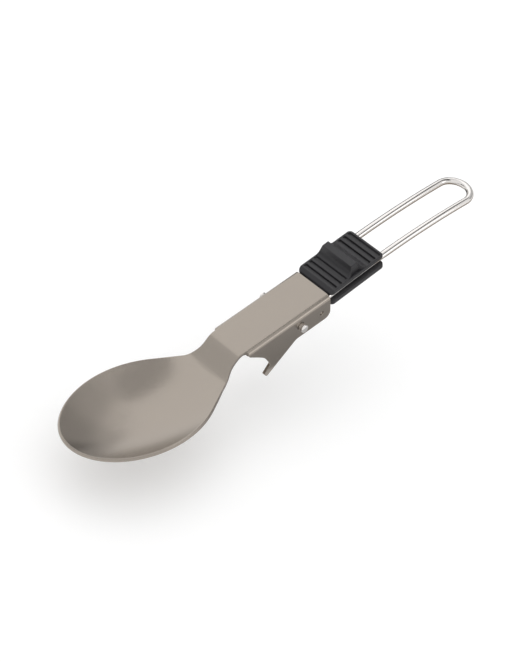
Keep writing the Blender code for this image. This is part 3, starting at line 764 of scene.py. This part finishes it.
lift = add(tree, "ShaderNodeMath", {"operation": "MULTIPLY"}, i0=seen.outputs[0], i1=floor_lift)
feed(tree, shader, Base_Color=tone.outputs[2], Roughness=0.9, Specular_IOR_Level=0.1)
feed(tree, shader, Emission_Color=(1.0, 1.0, 1.0, 1.0), Emission_Strength=lift.outputs[0])
span = np.linspace(-floor_half, floor_half, 5)
floor_points = np.stack(np.meshgrid(span, span, floor_level, indexing="ij"), axis=-1).reshape(-1, 3)
floor_mesh = bpy.data.meshes.new("floor")
floor_mesh.from_pydata(floor_points.tolist(), [], grid_faces(len(span), len(span)))
floor = bpy.data.objects.new("floor", floor_mesh)
bpy.context.scene.collection.objects.link(floor)
floor.data.materials.append(paper)

# Light. An even white tent round the spoon, a large softbox behind on the right and a small one low on
# the near side, which lights the channel's bend. Felt cards in greys and one brown, which show in
# reflections only, stand for what the steel mirrors in a real studio.
world = bpy.data.worlds.new("light tent")
bpy.context.scene.world = world
world.use_nodes = True
tent = world.node_tree.nodes["Background"]
feed(world.node_tree, tent, Color=(1.0, 1.0, 1.0, 1.0), Strength=0.95)


def facing(x, y, z):
    """The turn of a flat thing whose face looks the way x, y, z."""
    return Vector((x, y, z)).to_track_quat("Z", "Y")


def towards(azimuth, elevation, distance):
    """A place at a distance in metres, at an angle from +X towards +Y and another above the floor, and
    the turn of a flat thing there whose back looks at the middle of the floor."""
    around, up = np.radians([azimuth, elevation])
    way = Vector((np.cos(around) * np.cos(up), np.sin(around) * np.cos(up), np.sin(up)))
    return way * distance, facing(*way)


def softbox(name, azimuth, elevation, distance, width, height, radiance):
    """A lamp of even radiance, whose power follows from its size. A lamp shines from its back."""
    place, turn = towards(azimuth, elevation, distance)
    lamp = bpy.data.lights.new(name, "AREA")
    lamp.shape = "RECTANGLE"
    lamp.size, lamp.size_y = width, height
    lamp.energy = radiance * np.pi * width * height
    obj = bpy.data.objects.new(name, lamp)
    bpy.context.scene.collection.objects.link(obj)
    obj.location = place
    obj.rotation_mode = "QUATERNION"
    obj.rotation_quaternion = turn


softbox("back right softbox", 70, 42, 0.9, 1.1, 1.2, 0.34)
softbox("near softbox", -60, 24, 0.7, 0.28, 0.2, 1.1)


def card(name, shade, place, turn, width, height):
    """A flat card with its corners worked out from its middle and its two sides' directions. It shows
    only in reflections, so that the floor keeps its even light."""
    x, y = width / 2, height / 2
    flat = np.array([[-x, -y, 0], [x, -y, 0], [x, y, 0], [-x, y, 0]])
    corners = flat @ np.array(turn.to_matrix()).T + np.array(place)
    mesh = bpy.data.meshes.new(name)
    mesh.from_pydata(corners.tolist(), [], [(0, 1, 2, 3)])
    obj = bpy.data.objects.new(name, mesh)
    bpy.context.scene.collection.objects.link(obj)
    cover, tree, shader = material("matt felt on the " + name)
    spots = add(tree, "ShaderNodeTexCoord").outputs["Object"]
    felt = add(tree, "ShaderNodeTexNoise", Vector=spots, Scale=0.5 / millimetre, Detail=2.0)
    lighter = [part * 1.1 for part in linear(shade)[:3]] + [1.0]
    tone = add(tree, "ShaderNodeMix", colours, i0=felt.outputs["Fac"], i6=linear(shade), i7=lighter)
    feed(tree, shader, Base_Color=tone.outputs[2], Roughness=1.0)
    obj.data.materials.append(cover)
    obj.visible_camera = False
    obj.visible_diffuse = False
    obj.visible_shadow = False


# Two upright cards behind the handle darken the bowl's tip end, one overhead a patch beside its middle,
# and one beyond the bowl the slider's slopes that face it
card("handle side card", "#bababa", (0.8, 0.18, 0.36), facing(-1, 0, 0), 1.3, 0.72)
card("upper handle side card", "#e4e4e4", (0.8, 0.1, 1.02), facing(-1, 0, 0), 1.14, 0.6)
card("overhead card", "#e0e0e0", *towards(-10, 81, 0.9), 0.44, 0.44)
card("bowl side card", "#303030", *towards(150, 10, 0.9), 0.6, 0.3)

# Small cards close over, under and beyond the handle give the wires their lines
card("strip card over the handle", "#565656", (0.1, -0.026, 0.115), facing(0.25, -0.25, 0.93), 0.12, 0.034)
# The grey and the brown card on the floor are painted shade: they stand for the shaded floor beside the
# spoon, which the flange and the wires' lower edges mirror darker
card("near floor shade card", "#c7c7c7", (0.03, -0.032, 0.0003), facing(0, 0, 1), 0.12, 0.045)
card("brown floor shade card", "#8f857a", (0.11, -0.02, 0.0004), facing(0, 0, 1), 0.1, 0.08)
card("far low card", "#242424", (0.12, 0.062, 0.0003), facing(0, 0, 1), 0.13, 0.07)
card("far edge card", "#242424", (0.125, 0.1, 0.028), facing(0, -1, 0), 0.13, 0.056)

# Camera. A long lens from the near left, looking down at the web at the photograph's angle. Its pose
# is in the channel's frame, in millimetres and pixels, fitted to the outline, and carried to where
# the spoon lies.
picture_width, picture_height = 510, 662
focal_pixels = 2400.0
swing, dip, roll = np.radians([42.986, 47.76, -0.364])
pins_distance = 734.677
pins_pixel_x, pins_pixel_y = 283.543, 303.733
right = np.array([np.cos(swing), -np.sin(swing), 0])
above = np.array([np.sin(swing) * np.sin(dip), np.cos(swing) * np.sin(dip), np.cos(dip)])
ahead = np.array([np.sin(swing) * np.cos(dip), np.cos(swing) * np.cos(dip), -np.sin(dip)])
right, above = np.cos(roll) * right + np.sin(roll) * above, -np.sin(roll) * right + np.cos(roll) * above
aside = (pins_pixel_x - picture_width / 2) / focal_pixels * pins_distance
down = (pins_pixel_y - picture_height / 2) / focal_pixels * pins_distance
eye = -aside * right + down * above - pins_distance * ahead
placed = laid(np.stack([eye] + [eye + axis / millimetre for axis in (right, above, -ahead)]))
turned = (placed[1:] - placed[0]).T
camera = bpy.data.objects.new("camera", bpy.data.cameras.new("camera"))
bpy.context.scene.collection.objects.link(camera)
camera.matrix_world = Matrix.Translation(placed[0]) @ Matrix(turned.tolist()).to_4x4()
camera.data.sensor_fit = "VERTICAL"
camera.data.sensor_height = 36.0
camera.data.lens = focal_pixels / picture_height * camera.data.sensor_height
camera.data.clip_start = 0.01
bpy.context.scene.camera = camera
bpy.context.scene.view_settings.view_transform = "Standard"
